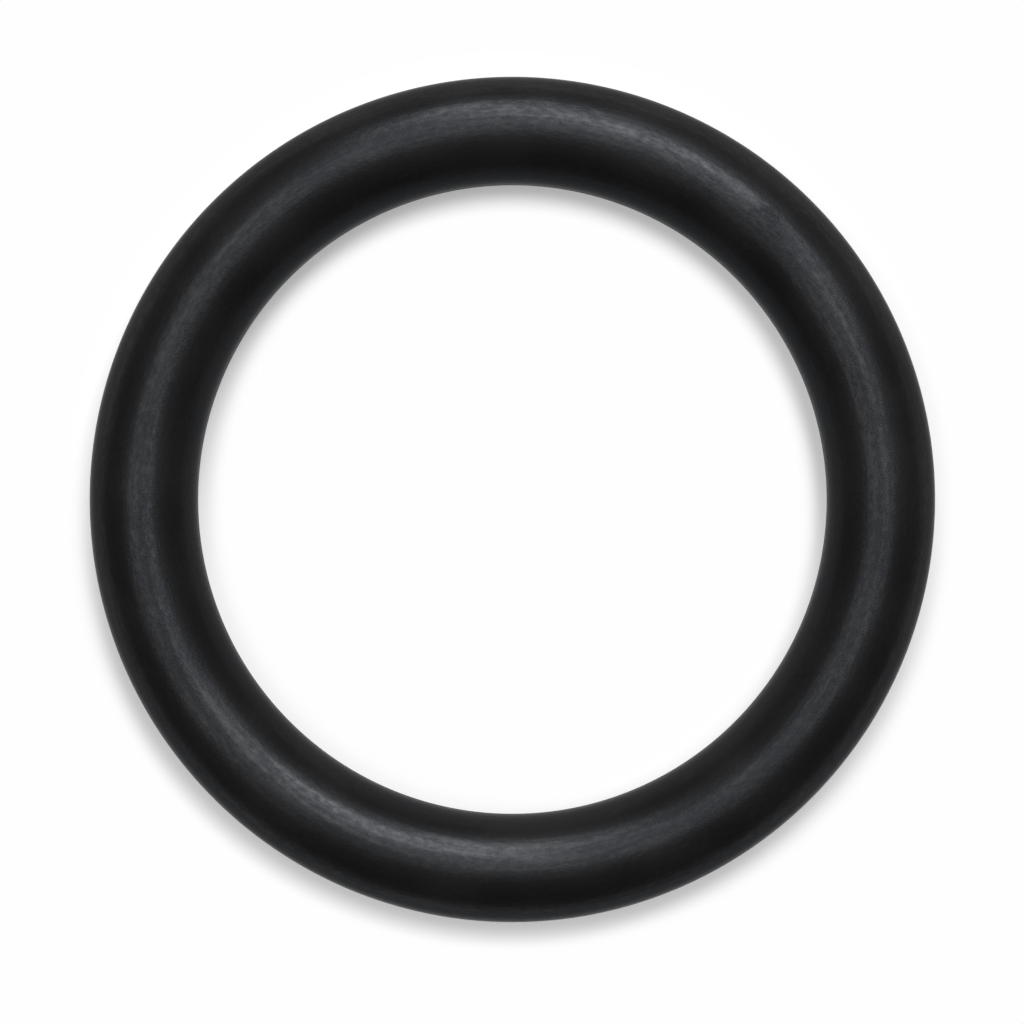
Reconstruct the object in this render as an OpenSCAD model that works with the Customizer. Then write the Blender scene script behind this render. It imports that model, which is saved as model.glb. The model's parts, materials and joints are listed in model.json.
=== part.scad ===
// Rubber o-ring, moulded in one piece and trimmed flush.
// The ring lies flat in the XY plane. Its axis is +Z and the origin is at its centre.

/* [Ring] */
// Inside diameter, measured across the bore
inner_d = 31.12; // [10:0.01:120]
// Diameter of the round section, which is also the ring's height
section_d = 5.33; // [2:0.01:8]

/* [Parting line] */
// Height of the flat land where the moulding flash was trimmed off the bore and the rim
land_h = 0.3; // [0.1:0.05:0.8]

/* [Finish] */
// Colour of the rubber
rubber_colour = "#1b1c1e"; // [#1b1c1e:Black, #5a5c60:Grey, #5c2b1e:Brown, #8c2a22:Red]

/* [Hidden] */

// Steps used to draw the section and one turn of the ring
section_steps = 96;
turn_steps = 240;

section_r = section_d / 2;
// How far each trimmed land lies inside the full circle of the section
land_depth = section_r - sqrt(pow(section_r, 2) - pow(land_h / 2, 2));
// Width that the section keeps between its two lands
trimmed_w = section_d - 2 * land_depth;
// Distance from the ring's axis to the middle of the section
centre_r = inner_d / 2 + trimmed_w / 2;

// The moulded section: a circle, flat only where its two flash lines were trimmed
module trimmed_section() {
    intersection() {
        circle(d = section_d, $fn = section_steps);
        square([trimmed_w, section_d], center = true);
    }
}

// The ring is that section turned once round the axis
module ring() {
    color(rubber_colour)
        rotate_extrude($fn = turn_steps)
            translate([centre_r, 0])
                trimmed_section();
}

ring();
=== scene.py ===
"""A black rubber o-ring, lying flat on a white sheet under soft studio lamps."""

import json
import math

import bpy
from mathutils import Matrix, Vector


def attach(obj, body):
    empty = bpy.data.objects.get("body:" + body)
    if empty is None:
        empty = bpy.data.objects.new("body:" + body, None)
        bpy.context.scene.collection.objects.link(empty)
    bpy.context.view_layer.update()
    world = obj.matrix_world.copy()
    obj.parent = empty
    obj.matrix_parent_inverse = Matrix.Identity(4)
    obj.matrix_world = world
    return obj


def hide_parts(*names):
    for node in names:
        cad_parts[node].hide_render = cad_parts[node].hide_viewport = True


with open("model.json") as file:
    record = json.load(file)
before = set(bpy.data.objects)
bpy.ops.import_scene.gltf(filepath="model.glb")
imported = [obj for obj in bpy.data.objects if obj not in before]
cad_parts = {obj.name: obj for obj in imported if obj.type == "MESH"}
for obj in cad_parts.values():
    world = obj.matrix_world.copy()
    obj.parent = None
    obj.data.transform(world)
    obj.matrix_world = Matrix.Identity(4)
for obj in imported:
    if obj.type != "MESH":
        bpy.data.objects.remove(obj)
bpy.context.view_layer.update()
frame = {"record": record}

MM = 0.001
MICRON = 0.001 * MM

# Sizes of the ring, worked out from the frame's bore and rim
ROUND_MOUNTS = {mount["name"]: mount["dims"] for mount in frame["record"]["mounts"]}
BORE_R = ROUND_MOUNTS["bore"]["r_mm"] * MM
RIM_R = ROUND_MOUNTS["rim"]["r_mm"] * MM
LAND_H = ROUND_MOUNTS["bore"]["length_mm"] * MM
CENTRE_R = (BORE_R + RIM_R) / 2
HALF_WIDTH = (RIM_R - BORE_R) / 2
SECTION_R = math.hypot(HALF_WIDTH, LAND_H / 2)
FLOOR_Z = -SECTION_R

# The camera looks straight down. Pixels are those of the 1024 pixel photograph.
PICTURE_SIDE_PX = 1024
RING_CENTRE_PX = (512.4, 499.5)
RIM_OUTLINE_PX = 422.8
CAMERA_HEIGHT = 146 * MM
SENSOR_W = 36.0

# Angles off the camera's axis at which it sees the ring's inner and outer outlines
MIDDLE_ANGLE = math.atan2(CENTRE_R, CAMERA_HEIGHT)
HALF_ANGLE = math.asin(SECTION_R / math.hypot(CENTRE_R, CAMERA_HEIGHT))
BORE_ANGLE = MIDDLE_ANGLE - HALF_ANGLE
RIM_ANGLE = MIDDLE_ANGLE + HALF_ANGLE


class Wire:
    """The output of a node. Sums on wires and numbers add the Math nodes they need."""

    def __init__(self, graph, socket):
        self.graph = graph
        self.socket = socket

    def other_output(self, name):
        return Wire(self.graph, self.socket.node.outputs[name])

    def __add__(self, other):
        return self.graph.math("ADD", self, other)

    def __radd__(self, other):
        return self.graph.math("ADD", other, self)

    def __sub__(self, other):
        return self.graph.math("SUBTRACT", self, other)

    def __rsub__(self, other):
        return self.graph.math("SUBTRACT", other, self)

    def __mul__(self, other):
        return self.graph.math("MULTIPLY", self, other)

    def __rmul__(self, other):
        return self.graph.math("MULTIPLY", other, self)

    def __truediv__(self, other):
        return self.graph.math("DIVIDE", self, other)

    def __rtruediv__(self, other):
        return self.graph.math("DIVIDE", other, self)

    def __pow__(self, other):
        return self.graph.math("POWER", self, other)

    def __abs__(self):
        return self.graph.math("ABSOLUTE", self)


class Graph:
    """A node tree that is built one node at a time."""

    def __init__(self, tree):
        self.tree = tree
        tree.nodes.clear()

    def add(self, kind, settings=None, sockets=None, output=0):
        """Add a node, give it its settings, then a value or a wire for each socket named."""
        node = self.tree.nodes.new(kind)
        for name, value in (settings or {}).items():
            setattr(node, name, value)
        for name, value in (sockets or {}).items():
            if isinstance(value, Wire):
                self.tree.links.new(value.socket, node.inputs[name])
            else:
                node.inputs[name].default_value = value
        return Wire(self, node.outputs[output]) if node.outputs else None

    def math(self, operation, *values):
        return self.add("ShaderNodeMath", {"operation": operation}, dict(enumerate(values)))


def material_graph(name):
    """A new material and the graph of its nodes."""
    material = bpy.data.materials.new(name)
    material.use_nodes = True
    return material, Graph(material.node_tree)


def grey(value):
    """A grey colour of the value given."""
    return (value, value, value, 1.0)


# Rubber

RUBBER_BLACK = (0.0080, 0.0075, 0.0072, 1.0)
BLOOM_GREY = (0.0110, 0.0104, 0.0100, 1.0)
SHEEN_LEVEL = 0.018
SHEEN_TINT = (6.75, 7.58, 8.93, 1.0)
SATIN = 0.39
FILM_ROUGHNESS = 0.30

# Sizes of the marks on the rubber, along the ring and across it, and the detail in their noise
SMEAR = (4.5 * MM, 2.2 * MM)
RUBBED = (0.42 * MM, 0.20 * MM)
SPOT = (0.34 * MM, 0.13 * MM)
GRAIN = (0.09 * MM, 0.07 * MM)
STREAK = (6.0 * MM, 0.28 * MM)
TRIM_MARK = (0.9 * MM, 0.05 * MM)
PLAIN_NOISE = 1.0
RAGGED_NOISE = 2.0

# What the marks add to the roughness or take off it
ROUGHER = {
    "smear": 0.10,
    "rubbed": -0.12,
    "grain": 0.20,
    "scuff": 0.10,
    "nick": 0.15,
    "land": 0.12,
    "flank": -0.10,
}

# How high the marks stand, in microns
RAISED = {"grain": 7.5, "rubbed": 6.5, "streak": 6.0, "trim_mark": 6.0, "nick": -9.0}

# Shares of the marks in the bloom and the film, and the sums at which these are bare and full
BLOOM_MIX = {"smear": 1.0, "rubbed": 0.4}
BLOOM_RANGE = (-0.15, 0.20)
FILM_MIX = {"rubbed": 0.9, "streak": 1.15, "smear": 0.5}
FILM_RANGE = (-0.22, 0.34)
SPOT_RANGE = (-0.02, 0.24)

# The film's least weight, and what its uneven part and its spots add
FILM_WEIGHT = 0.034
FILM_SPREAD = 0.17
SPOT_WEIGHT = 0.11

# Where a zone starts and is full, in heights as shares of the section's radius, or of the land's height
CROWN = (0.50, 0.85)
FLANK = (0.60, 0.10)
UPPER_SIDE = (0.0, 0.5)
LAND_EDGE = (0.62, 0.46)

# Spots on top of the ring: turn in degrees, distance from the axis, half length and half width
NICK = (44.8, CENTRE_R, 0.36 * MM, 0.08 * MM)
SCUFF = (47.0, CENTRE_R, 1.6 * MM, 1.6 * MM)
SOFT_EDGE = (1.0, 0.3)

# Spots where the film lies thicker or is rubbed off, each with the weight it adds
FILM_PATCHES = (
    ((242.0, CENTRE_R, 15.0 * MM, 8.0 * MM), 0.072),
    ((53.4, CENTRE_R + 0.42 * MM, 1.50 * MM, 0.38 * MM), 0.14),
    ((48.0, CENTRE_R + 0.40 * MM, 0.75 * MM, 0.70 * MM), -0.12),
)
PATCH_EDGE = (1.0, 0.5)
PATCH_RAGGED = 1.2
PATCH_EVEN = 0.6
PATCH_UNEVEN = 0.7


def mark_noise(graph, place, size, detail):
    """Noise in spots of the size given, where the place's X and Y run along the ring."""
    along, across = size
    spots = {"operation": "MULTIPLY"}
    stretched = graph.add(
        "ShaderNodeVectorMath", spots, {0: place, 1: (1 / along, 1 / along, 1 / across)}
    )
    noise = {"Vector": stretched, "Scale": 1.0, "Detail": detail}
    return graph.add("ShaderNodeTexNoise", None, noise, "Fac") - 0.5


def ramp(graph, value, start_and_end):
    """Rises smoothly from 0 where the value is at its start to 1 at its end."""
    start, end = start_and_end
    limits = {"Value": value, "From Min": start, "From Max": end}
    smooth = {"interpolation_type": "SMOOTHSTEP"}
    return graph.add("ShaderNodeMapRange", smooth, limits)


def weighted(marks, shares):
    """The sum of the marks named, each times its share."""
    return sum(marks[name] * share for name, share in shares.items())


def spot_reach(graph, x, y, spot):
    """How far a point is from a spot on top of the ring, as a share of its half length and half width."""
    turn, distance, length, width = spot
    turn = math.radians(turn)
    outward = x * math.cos(turn) + y * math.sin(turn) - distance
    past = x * math.sin(turn) - y * math.cos(turn)
    return ((outward / width) ** 2 + (past / length) ** 2) ** 0.5


def laid_along_ring(graph, x, y, z):
    """The point's place with X and Y along the ring and Z round its section."""
    reach = (x * x + y * y) ** 0.5
    section_turn = graph.math("ARCTAN2", z, reach - CENTRE_R)
    return graph.add(
        "ShaderNodeCombineXYZ",
        None,
        {
            "X": x / reach * CENTRE_R,
            "Y": y / reach * CENTRE_R,
            "Z": section_turn * SECTION_R,
        },
    )


def rubber_marks(graph, place, x, y, z):
    """The marks and zones by name: noise lies round 0, and the others run from 0 to 1."""
    along_ring = laid_along_ring(graph, x, y, z)
    height = abs(z) / SECTION_R
    on_top = ramp(graph, z / SECTION_R, UPPER_SIDE)
    land = ramp(graph, abs(z) / LAND_H, LAND_EDGE)
    return {
        "smear": mark_noise(graph, place, SMEAR, PLAIN_NOISE),
        "grain": mark_noise(graph, place, GRAIN, PLAIN_NOISE),
        "rubbed": mark_noise(graph, along_ring, RUBBED, RAGGED_NOISE),
        "streak": mark_noise(graph, along_ring, STREAK, RAGGED_NOISE),
        "spot": mark_noise(graph, along_ring, SPOT, RAGGED_NOISE),
        "trim_mark": mark_noise(graph, along_ring, TRIM_MARK, RAGGED_NOISE) * land,
        "nick": ramp(graph, spot_reach(graph, x, y, NICK), SOFT_EDGE) * on_top,
        "scuff": ramp(graph, spot_reach(graph, x, y, SCUFF), SOFT_EDGE) * on_top,
        "land": land,
        "on_top": on_top,
        "crown": ramp(graph, height, CROWN),
        "flank": ramp(graph, height, FLANK),
    }


def film_weight(graph, x, y, marks):
    """Weight of the thin film on the top and bottom faces. The sides are bare."""
    film = ramp(graph, weighted(marks, FILM_MIX), FILM_RANGE)
    spots = ramp(graph, marks["spot"], SPOT_RANGE)
    patches = 0.0
    for spot, weight in FILM_PATCHES:
        reach = spot_reach(graph, x, y, spot) + marks["rubbed"] * PATCH_RAGGED
        patches = patches + ramp(graph, reach, PATCH_EDGE) * weight
    patches = patches * marks["on_top"] * (film * PATCH_UNEVEN + PATCH_EVEN)
    weight = film * FILM_SPREAD + spots * SPOT_WEIGHT + patches + FILM_WEIGHT
    return graph.math("MAXIMUM", weight, 0.0) * marks["crown"]


def satin_rubber():
    """Satin black rubber with a very fine grain, smears and streaks, and a thin film on its faces."""
    material, graph = material_graph("satin_rubber")
    place = graph.add("ShaderNodeTexCoord", None, None, "Object")
    x = graph.add("ShaderNodeSeparateXYZ", None, {0: place}, "X")
    y = x.other_output("Y")
    z = x.other_output("Z")
    marks = rubber_marks(graph, place, x, y, z)
    bloom = ramp(graph, weighted(marks, BLOOM_MIX), BLOOM_RANGE)
    colour = graph.add(
        "ShaderNodeMix",
        {"data_type": "RGBA"},
        {0: bloom, 6: RUBBER_BLACK, 7: BLOOM_GREY},
        2,
    )
    microns = weighted(marks, RAISED)
    relief = graph.add("ShaderNodeBump", None, {"Distance": MICRON, "Height": microns})
    rubber = graph.add(
        "ShaderNodeBsdfPrincipled",
        None,
        {
            "Base Color": colour,
            "Roughness": weighted(marks, ROUGHER) + SATIN,
            "Specular IOR Level": SHEEN_LEVEL,
            "Specular Tint": SHEEN_TINT,
            "Coat Weight": film_weight(graph, x, y, marks),
            "Coat Roughness": FILM_ROUGHNESS,
            "Normal": relief,
        },
    )
    graph.add("ShaderNodeOutputMaterial", None, {"Surface": rubber})
    return material


# The ring

TURN_STEPS = 512
SECTION_STEPS = 4 * round(math.pi / 2 / math.asin(LAND_H / 2 / SECTION_R))


def ring_tree():
    """Geometry nodes that carry a circular section, flat at its two trimmed lands, once round."""
    tree = bpy.data.node_groups.new("moulded_ring", "GeometryNodeTree")
    graph = Graph(tree)
    for name, kind in (
        ("Centre Radius", "NodeSocketFloat"),
        ("Section Radius", "NodeSocketFloat"),
        ("Half Width", "NodeSocketFloat"),
        ("Turn Steps", "NodeSocketInt"),
        ("Section Steps", "NodeSocketInt"),
        ("Rubber", "NodeSocketMaterial"),
    ):
        tree.interface.new_socket(name, in_out="INPUT", socket_type=kind)
    tree.interface.new_socket("Ring", in_out="OUTPUT", socket_type="NodeSocketGeometry")
    given = graph.add("NodeGroupInput", None, None, "Centre Radius")
    section_r = given.other_output("Section Radius")
    half_w = given.other_output("Half Width")

    turn = graph.add(
        "GeometryNodeCurvePrimitiveCircle",
        {"mode": "RADIUS"},
        {"Resolution": given.other_output("Turn Steps"), "Radius": given},
    )
    turn = graph.add("GeometryNodeSetCurveNormal", {"mode": "Z_UP"}, {"Curve": turn})
    circle = graph.add(
        "GeometryNodeCurvePrimitiveCircle",
        {"mode": "RADIUS"},
        {"Resolution": given.other_output("Section Steps"), "Radius": section_r},
    )
    place = graph.add("GeometryNodeInputPosition")
    x = graph.add("ShaderNodeSeparateXYZ", None, {0: place}, "X")
    trimmed_x = graph.math("MINIMUM", graph.math("MAXIMUM", x, 0 - half_w), half_w)
    trimmed = graph.add(
        "ShaderNodeCombineXYZ", None, {"X": trimmed_x, "Y": x.other_output("Y")}
    )
    section = graph.add("GeometryNodeSetPosition", None, {"Geometry": circle, "Position": trimmed})
    ring = graph.add("GeometryNodeCurveToMesh", None, {"Curve": turn, "Profile Curve": section})
    ring = graph.add("GeometryNodeSetShadeSmooth", None, {"Geometry": ring})
    ring = graph.add("GeometryNodeRealizeInstances", None, {"Geometry": ring})
    ring = graph.add(
        "GeometryNodeSetMaterial",
        None,
        {"Geometry": ring, "Material": given.other_output("Rubber")},
    )
    graph.add("NodeGroupOutput", None, {"Ring": ring})
    return tree


def built_mesh(name, tree, values):
    """Run geometry nodes with the values given by name, and keep what they make as a plain mesh."""
    piece = bpy.data.objects.new(name, bpy.data.meshes.new(name))
    bpy.context.scene.collection.objects.link(piece)
    modifier = piece.modifiers.new(name, "NODES")
    modifier.node_group = tree
    for socket in tree.interface.items_tree:
        if socket.name in values:
            modifier[socket.identifier] = values[socket.name]
    bpy.context.view_layer.update()
    seen = piece.evaluated_get(bpy.context.evaluated_depsgraph_get())
    mesh = bpy.data.meshes.new_from_object(seen)
    piece.modifiers.clear()
    piece.data = mesh
    mesh.name = name
    return piece


rubber_ring = built_mesh(
    "rubber_ring",
    ring_tree(),
    {
        "Centre Radius": CENTRE_R,
        "Section Radius": SECTION_R,
        "Half Width": HALF_WIDTH,
        "Turn Steps": TURN_STEPS,
        "Section Steps": SECTION_STEPS,
        "Rubber": satin_rubber(),
    },
)
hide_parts("ring")
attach(rubber_ring, "root")


# Stage

SHEET_R = 1.5
SHEET_CORNERS = 96
WALLS_R = 1.6
WALL_GLOW = 0.02
LAMP_DISTANCE = 0.5

# The paper as light bounces off it, and as it is seen: near the ring, where the lamps' shade shows lifted
# by a glow, and painted white past that zone, which hides the rest of the ring's shadow
PAPER_ALBEDO = 0.8
SHOWN_ALBEDO = 0.56
SHOWN_GLOW = 0.37
FAR_WHITE = 0.99

# The ring's outlines on the sheet as the camera sees them, and where painted white takes over from its
# shadow past them
SHEET_DEPTH = CAMERA_HEIGHT - FLOOR_Z
BORE_OUTLINE = SHEET_DEPTH * math.tan(BORE_ANGLE)
RIM_OUTLINE = SHEET_DEPTH * math.tan(RIM_ANGLE)
OUTLINE_MIDDLE = (BORE_OUTLINE + RIM_OUTLINE) / 2
OUTLINE_HALF_WIDTH = (RIM_OUTLINE - BORE_OUTLINE) / 2
PAINTED_WHITE_FADE = (0.2 * MM, 1.5 * MM)


def white_paper():
    """White paper: plain to light that bounces off it. To the eye and in reflections it shows the lamps'
    shade near the ring, lifted by a glow, and past that it is painted white, which cuts the ring's shadow
    short.
    """
    material, graph = material_graph("white_paper")
    path = graph.add("ShaderNodeLightPath", None, None, "Is Camera Ray")
    glossy = path.other_output("Is Glossy Ray")
    through = path.other_output("Is Transmission Ray")
    looked_at = graph.math("MAXIMUM", graph.math("MAXIMUM", path, glossy), through)
    place = graph.add("ShaderNodeTexCoord", None, None, "Object")
    x = graph.add("ShaderNodeSeparateXYZ", None, {0: place}, "X")
    y = x.other_output("Y")
    beyond = abs((x * x + y * y) ** 0.5 - OUTLINE_MIDDLE) - OUTLINE_HALF_WIDTH
    # Painted white: past this fade the sheet is plain white emission and no longer shows the ring's
    # shadow
    painted_white_fade = ramp(graph, beyond, PAINTED_WHITE_FADE)
    paper = graph.add("ShaderNodeBsdfDiffuse", None, {"Color": grey(PAPER_ALBEDO)})
    shade = graph.add("ShaderNodeBsdfDiffuse", None, {"Color": grey(SHOWN_ALBEDO)})
    glow = graph.add("ShaderNodeEmission", None, {"Strength": SHOWN_GLOW})
    white = graph.add("ShaderNodeEmission", None, {"Strength": FAR_WHITE})
    near = graph.add("ShaderNodeAddShader", None, {0: shade, 1: glow})
    shown = graph.add("ShaderNodeMixShader", None, {0: painted_white_fade, 1: near, 2: white})
    mixed = graph.add("ShaderNodeMixShader", None, {0: looked_at, 1: paper, 2: shown})
    graph.add("ShaderNodeOutputMaterial", None, {"Surface": mixed})
    return material


def white_sheet():
    """A flat round sheet of white paper, on which the ring lies."""
    turns = [2 * math.pi * corner / SHEET_CORNERS for corner in range(SHEET_CORNERS)]
    edge = [(SHEET_R * math.cos(turn), SHEET_R * math.sin(turn), FLOOR_Z) for turn in turns]
    mesh = bpy.data.meshes.new("white_sheet")
    mesh.from_pydata(edge, [], [range(SHEET_CORNERS)])
    mesh.materials.append(white_paper())
    sheet = bpy.data.objects.new("white_sheet", mesh)
    bpy.context.scene.collection.objects.link(sheet)


def dim_walls():
    """Dark studio walls, which the camera looks through to the white background."""
    material, graph = material_graph("dim_walls")
    glow = graph.add("ShaderNodeEmission", None, {"Strength": WALL_GLOW})
    graph.add("ShaderNodeOutputMaterial", None, {"Surface": glow})
    bpy.ops.mesh.primitive_uv_sphere_add(segments=48, ring_count=24, radius=WALLS_R)
    walls = bpy.context.object
    walls.name = "dim_walls"
    walls.data.materials.append(material)
    walls.visible_camera = False


def softbox(name, azimuth, zenith, width, depth, radiance):
    """An oval lamp that faces the ring, with its angles in degrees and its face in metres."""
    azimuth = math.radians(azimuth)
    zenith = math.radians(zenith)
    side = LAMP_DISTANCE * math.sin(zenith)
    height = LAMP_DISTANCE * math.cos(zenith)
    face = math.pi / 4 * width * depth
    lamp = bpy.data.lights.new(name, "AREA")
    lamp.shape = "ELLIPSE"
    lamp.size = width
    lamp.size_y = depth
    lamp.energy = radiance * math.pi * face
    box = bpy.data.objects.new(name, lamp)
    box.location = Vector((side * math.cos(azimuth), side * math.sin(azimuth), height))
    box.rotation_euler = (-box.location).to_track_quat("-Z", "Y").to_euler()
    bpy.context.scene.collection.objects.link(box)


def white_background():
    """A plain white world of strength 1."""
    world = bpy.data.worlds.new("white_background")
    world.use_nodes = True
    graph = Graph(world.node_tree)
    white = graph.add("ShaderNodeBackground", None, {"Color": grey(1.0)})
    graph.add("ShaderNodeOutputWorld", None, {"Surface": white})
    bpy.context.scene.world = world


def overhead_camera():
    """A camera straight above, from which the ring fills the photograph's outline."""
    focal_px = RIM_OUTLINE_PX / math.tan(RIM_ANGLE)
    lens = bpy.data.cameras.new("overhead_camera")
    lens.sensor_width = SENSOR_W
    lens.lens = focal_px * SENSOR_W / PICTURE_SIDE_PX
    lens.clip_start = 10 * MM
    lens.clip_end = 10.0
    camera = bpy.data.objects.new("overhead_camera", lens)
    shift_x = (PICTURE_SIDE_PX / 2 - RING_CENTRE_PX[0]) / focal_px * CAMERA_HEIGHT
    shift_y = (RING_CENTRE_PX[1] - PICTURE_SIDE_PX / 2) / focal_px * CAMERA_HEIGHT
    camera.location = (shift_x, shift_y, CAMERA_HEIGHT)
    bpy.context.scene.collection.objects.link(camera)
    bpy.context.scene.camera = camera


white_sheet()
dim_walls()
white_background()
overhead_camera()
softbox("key_softbox", azimuth=67, zenith=32, width=0.22, depth=0.15, radiance=16.5)
softbox("back_softbox", azimuth=91, zenith=48, width=0.19, depth=0.20, radiance=12.0)
softbox("top_softbox", azimuth=30, zenith=12, width=0.17, depth=0.14, radiance=7.6)
softbox("left_softbox", azimuth=165, zenith=18, width=0.40, depth=0.17, radiance=4.0)
bpy.context.scene.view_settings.view_transform = "Standard"
